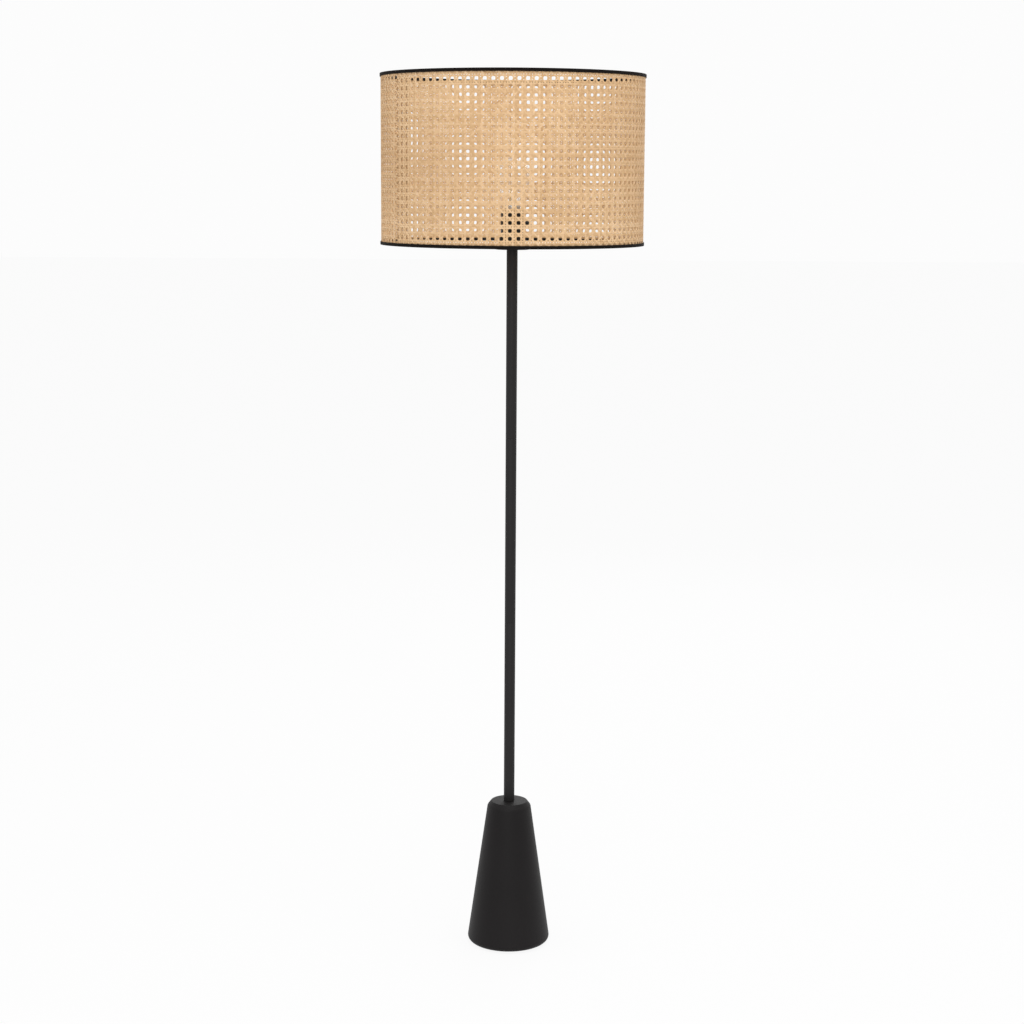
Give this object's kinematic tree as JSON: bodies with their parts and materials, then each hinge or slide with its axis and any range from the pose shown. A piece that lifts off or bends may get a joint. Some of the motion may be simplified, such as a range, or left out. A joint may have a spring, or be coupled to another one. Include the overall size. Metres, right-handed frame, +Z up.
{
  "type": "rattan floor lamp",
  "caption": "Slim black floor lamp with a weighted cone base and a see-through cane-webbing drum shade, lit by a bulb on a switched holder.",
  "frame": {"origin": "on the floor, on the lamp's axis, at the centre of the foot of the base", "axes": "+Z up along the pole; +X towards the switch knob; +Y towards the cable outlet at the back"},
  "size_m": [0.453, 0.453, 1.542],
  "materials": {
    "black_metal": "matte black powder coat",
    "cast_iron": "rough casting",
    "zinc_steel": "zinc plated",
    "brass": "plain",
    "black_plastic": "moulded phenolic",
    "ceramic": "glazed",
    "black_rubber": "moulded",
    "felt": "pressed felt",
    "rattan": "natural woven cane",
    "black_tape": "matte binding tape",
    "clear_glass": "clear",
    "filament": "phosphor coated"
  },
  "bodies": {
    "stand": {"floor_pad": "felt", "base_plate": "black_metal", "plate_screw_1": "zinc_steel", "plate_screw_2": "zinc_steel", "plate_screw_3": "zinc_steel", "base_shell": "black_metal", "base_weight": "cast_iron", "cable_grommet": "black_rubber", "center_rod": "zinc_steel", "rod_nut": "zinc_steel", "rod_washer": "zinc_steel", "pole_lower": "black_metal", "pole_middle": "black_metal", "pole_upper": "black_metal", "pole_insert_1": "zinc_steel", "pole_insert_2": "zinc_steel", "pole_insert_3": "zinc_steel", "pole_insert_4": "zinc_steel", "pole_insert_5": "zinc_steel", "pole_insert_6": "zinc_steel", "pole_nipple_1": "zinc_steel", "pole_nipple_2": "zinc_steel", "top_nipple": "zinc_steel", "seat_disc": "black_metal", "holder_cap": "black_plastic", "holder_nut": "zinc_steel", "holder_shell": "black_plastic", "holder_core": "ceramic", "screw_shell": "brass", "centre_contact": "brass", "terminal_screw_1": "brass", "terminal_screw_2": "brass", "shade_ring": "black_plastic"},
    "knob": {"switch_spindle": "brass", "switch_knob": "black_plastic"},
    "bulb_foot": {"bulb_tip": "zinc_steel"},
    "bulb": {"bulb_cap": "zinc_steel", "bulb_glass": "clear_glass", "bulb_stem": "clear_glass", "bulb_filament_1": "filament", "bulb_filament_2": "filament", "bulb_filament_3": "filament", "bulb_filament_4": "filament"},
    "shade": {"cane_panel": "rattan", "lower_trim": "black_tape", "upper_trim": "black_tape", "lower_hoop": "black_metal", "upper_hoop": "black_metal", "spider_ring": "black_metal", "spider_arm_1": "black_metal", "spider_arm_2": "black_metal", "spider_arm_3": "black_metal"}
  },
  "joints": [
    {"name": "knob_turn", "type": "hinge", "parent": "stand", "child": "knob", "pos_m": [0.0278, 0, 1.2894], "axis": [1, 0, 0], "continuous": true},
    {"name": "shade_turn", "type": "hinge", "parent": "stand", "child": "shade", "pos_m": [0, 0, 1.2524], "axis": [0, 0, 1], "continuous": true},
    {"name": "bulb_lift", "type": "slide", "parent": "stand", "child": "bulb_foot", "axis": [0, 0, 1], "range_m": [0, 0.02172]},
    {"name": "bulb_turn", "type": "hinge", "parent": "bulb_foot", "child": "bulb", "pos_m": [0, 0, 1.305], "axis": [0, 0, 1], "range_deg": [0, 2160]}
  ],
  "couplings": [
    {"joint": "bulb_lift", "follows": "bulb_turn", "m_per_rad": 0.00057614}
  ]
}
